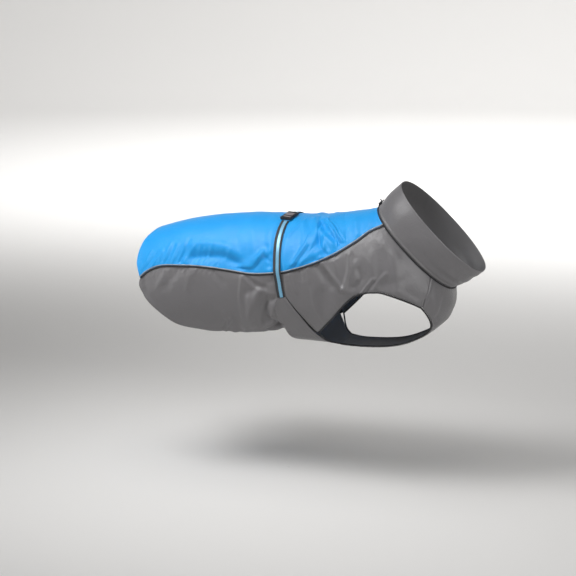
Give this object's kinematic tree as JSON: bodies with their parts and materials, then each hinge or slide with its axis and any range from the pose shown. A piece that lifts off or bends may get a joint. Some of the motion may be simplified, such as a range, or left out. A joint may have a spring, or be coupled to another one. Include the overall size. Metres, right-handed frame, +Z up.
{
  "type": "dog raincoat",
  "caption": "Worn dog raincoat, hollow: back and side panels, chest piece, belly band, stand collar, leg openings, girth strap with side-release buckle, neck drawcord with cord lock.",
  "frame": {"origin": "on the inner face of the back panel, at the middle of the back, where the wearer's back carries the coat", "axes": "+X forward from the tail to the neck, +Y to the wearer's left, +Z up"},
  "size_m": [0.7188, 0.255, 0.3442],
  "materials": {
    "blue_shell": "coated nylon, satin sheen",
    "grey_shell": "coated nylon, satin sheen",
    "reflective": "reflective piping and strip, smooth",
    "black_tape": "woven binding tape, matt",
    "webbing": "woven strap, matt",
    "cord": "braided, matt",
    "black_plastic": "moulded, satin"
  },
  "bodies": {
    "root": {"back_panel": "blue_shell", "side_rear_R": "grey_shell", "side_rear_L": "grey_shell", "side_front_R": "grey_shell", "side_front_L": "grey_shell", "chest_panel": "grey_shell", "belly_panel": "grey_shell", "collar": "grey_shell", "side_piping_R": "reflective", "side_piping_L": "reflective", "side_tape_R": "black_tape", "side_tape_L": "black_tape", "leg_binding_R": "black_tape", "leg_binding_L": "black_tape", "strap_R": "webbing", "strap_L": "webbing", "strap_strip_R": "reflective", "strap_strip_L": "reflective", "drawcord_end_R": "cord", "drawcord_end_L": "cord", "neck_drawcord": "cord", "buckle_socket": "black_plastic", "buckle_plug": "black_plastic", "cord_lock": "black_plastic"}
  },
  "joints": []
}
